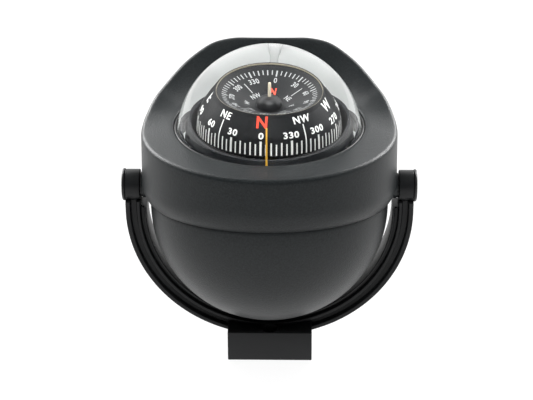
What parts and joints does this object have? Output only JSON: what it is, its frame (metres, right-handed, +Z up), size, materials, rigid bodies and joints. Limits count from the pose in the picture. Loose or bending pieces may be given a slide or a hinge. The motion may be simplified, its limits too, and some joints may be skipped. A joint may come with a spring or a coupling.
{
  "type": "binnacle compass",
  "caption": "Liquid-filled steering compass with a hooded housing, clear dome and gimballed card, tilting in a U-shaped bracket.",
  "frame": {"origin": "centre of the underside of the foot", "axes": "+Z up; the reader stands at -Y and the hood is at +Y; +X is the reader's right, along the tilt axis"},
  "size_m": [0.1466, 0.1352, 0.1627],
  "materials": {
    "bracket_black": "moulded glass-filled nylon, fine satin",
    "housing_grey": "fine textured dark slate grey",
    "knob_black": "satin",
    "black_rubber": "matte",
    "brass": "machined",
    "stainless_steel": "brushed",
    "clear_dome": "polished clear acrylic",
    "ring_black": "satin black",
    "gimbal_black": "satin black",
    "white_bowl": "white moulded",
    "card_black": "matte black card with white print",
    "float_white": "closed-cell foam",
    "magnet_steel": "ground",
    "lubber_yellow": "yellow ochre paint",
    "lamp_red": "red lens",
    "weight_brass": "cast",
    "block_nylon": "natural nylon",
    "pin_ivory": "ivory",
    "washer_black": "toothed acetal"
  },
  "bodies": {
    "bracket": {"bracket": "bracket_black"},
    "left_knob": {"left_knob": "knob_black"},
    "right_knob": {"right_knob": "knob_black"},
    "housing": {"upper_housing": "housing_grey", "lower_bowl": "housing_grey", "seam_gasket": "black_rubber", "left_pivot_insert": "brass", "right_pivot_insert": "brass", "left_washer": "washer_black", "right_washer": "washer_black", "housing_screws": "stainless_steel", "dome": "clear_dome", "dome_ring": "ring_black", "dome_gasket": "black_rubber", "fluid_bowl": "white_bowl", "clamp_screws": "stainless_steel", "expansion_diaphragm": "black_rubber", "diaphragm_ring": "stainless_steel", "diaphragm_screws": "stainless_steel", "filler_plug": "brass", "filler_seal": "black_rubber", "front_lubber": "lubber_yellow", "gimbal_stubs": "white_bowl", "compensator_block": "block_nylon", "compensator_screws": "stainless_steel", "lamp_holder": "washer_black", "lamp": "lamp_red", "cable_gland": "black_rubber"},
    "gimbal": {"gimbal_ring": "gimbal_black", "ring_pins": "stainless_steel"},
    "cradle": {"pivot_cradle": "gimbal_black", "cradle_weight": "weight_brass", "pivot_post": "brass", "pivot_pin": "stainless_steel"},
    "card": {"card_skirt": "card_black", "card_dish": "card_black", "card_float": "float_white", "card_magnets": "magnet_steel", "jewel_cup": "brass", "hub_cap": "card_black", "centre_pin": "pin_ivory"},
    "athwart_adjuster": {"athwart_rod": "brass", "athwart_magnet": "magnet_steel"},
    "fore_aft_adjuster": {"fore_aft_rod": "brass", "fore_aft_magnet": "magnet_steel"}
  },
  "joints": [
    {"name": "tilt", "type": "hinge", "parent": "bracket", "child": "housing", "pos_m": [0, 0, 0.093], "axis": [1, 0, 0], "range_deg": [-30, 45]},
    {"name": "left_knob_turn", "type": "hinge", "parent": "bracket", "child": "left_knob", "pos_m": [-0.0724, 0, 0.093], "axis": [1, 0, 0], "range_deg": [0, 180]},
    {"name": "right_knob_turn", "type": "hinge", "parent": "bracket", "child": "right_knob", "pos_m": [0.0724, 0, 0.093], "axis": [1, 0, 0], "range_deg": [-180, 0]},
    {"name": "gimbal_roll", "type": "hinge", "parent": "housing", "child": "gimbal", "pos_m": [0, 0.00601, 0.11192], "axis": [0, 1, 0], "range_deg": [-30, 30]},
    {"name": "gimbal_pitch", "type": "hinge", "parent": "gimbal", "child": "cradle", "pos_m": [0, 0.00601, 0.11192], "axis": [1, 0, 0], "range_deg": [-30, 30]},
    {"name": "card_yaw", "type": "hinge", "parent": "cradle", "child": "card", "pos_m": [0, 0.00601, 0.12527], "axis": [0.0122, 0.0994, 0.995], "continuous": true},
    {"name": "athwart_turn", "type": "hinge", "parent": "housing", "child": "athwart_adjuster", "pos_m": [0, -0.00019, 0.05534], "axis": [1, 0, 0], "continuous": true},
    {"name": "fore_aft_turn", "type": "hinge", "parent": "housing", "child": "fore_aft_adjuster", "pos_m": [0, -0.00821, 0.05079], "axis": [0, 0.9816, -0.1908], "continuous": true}
  ]
}
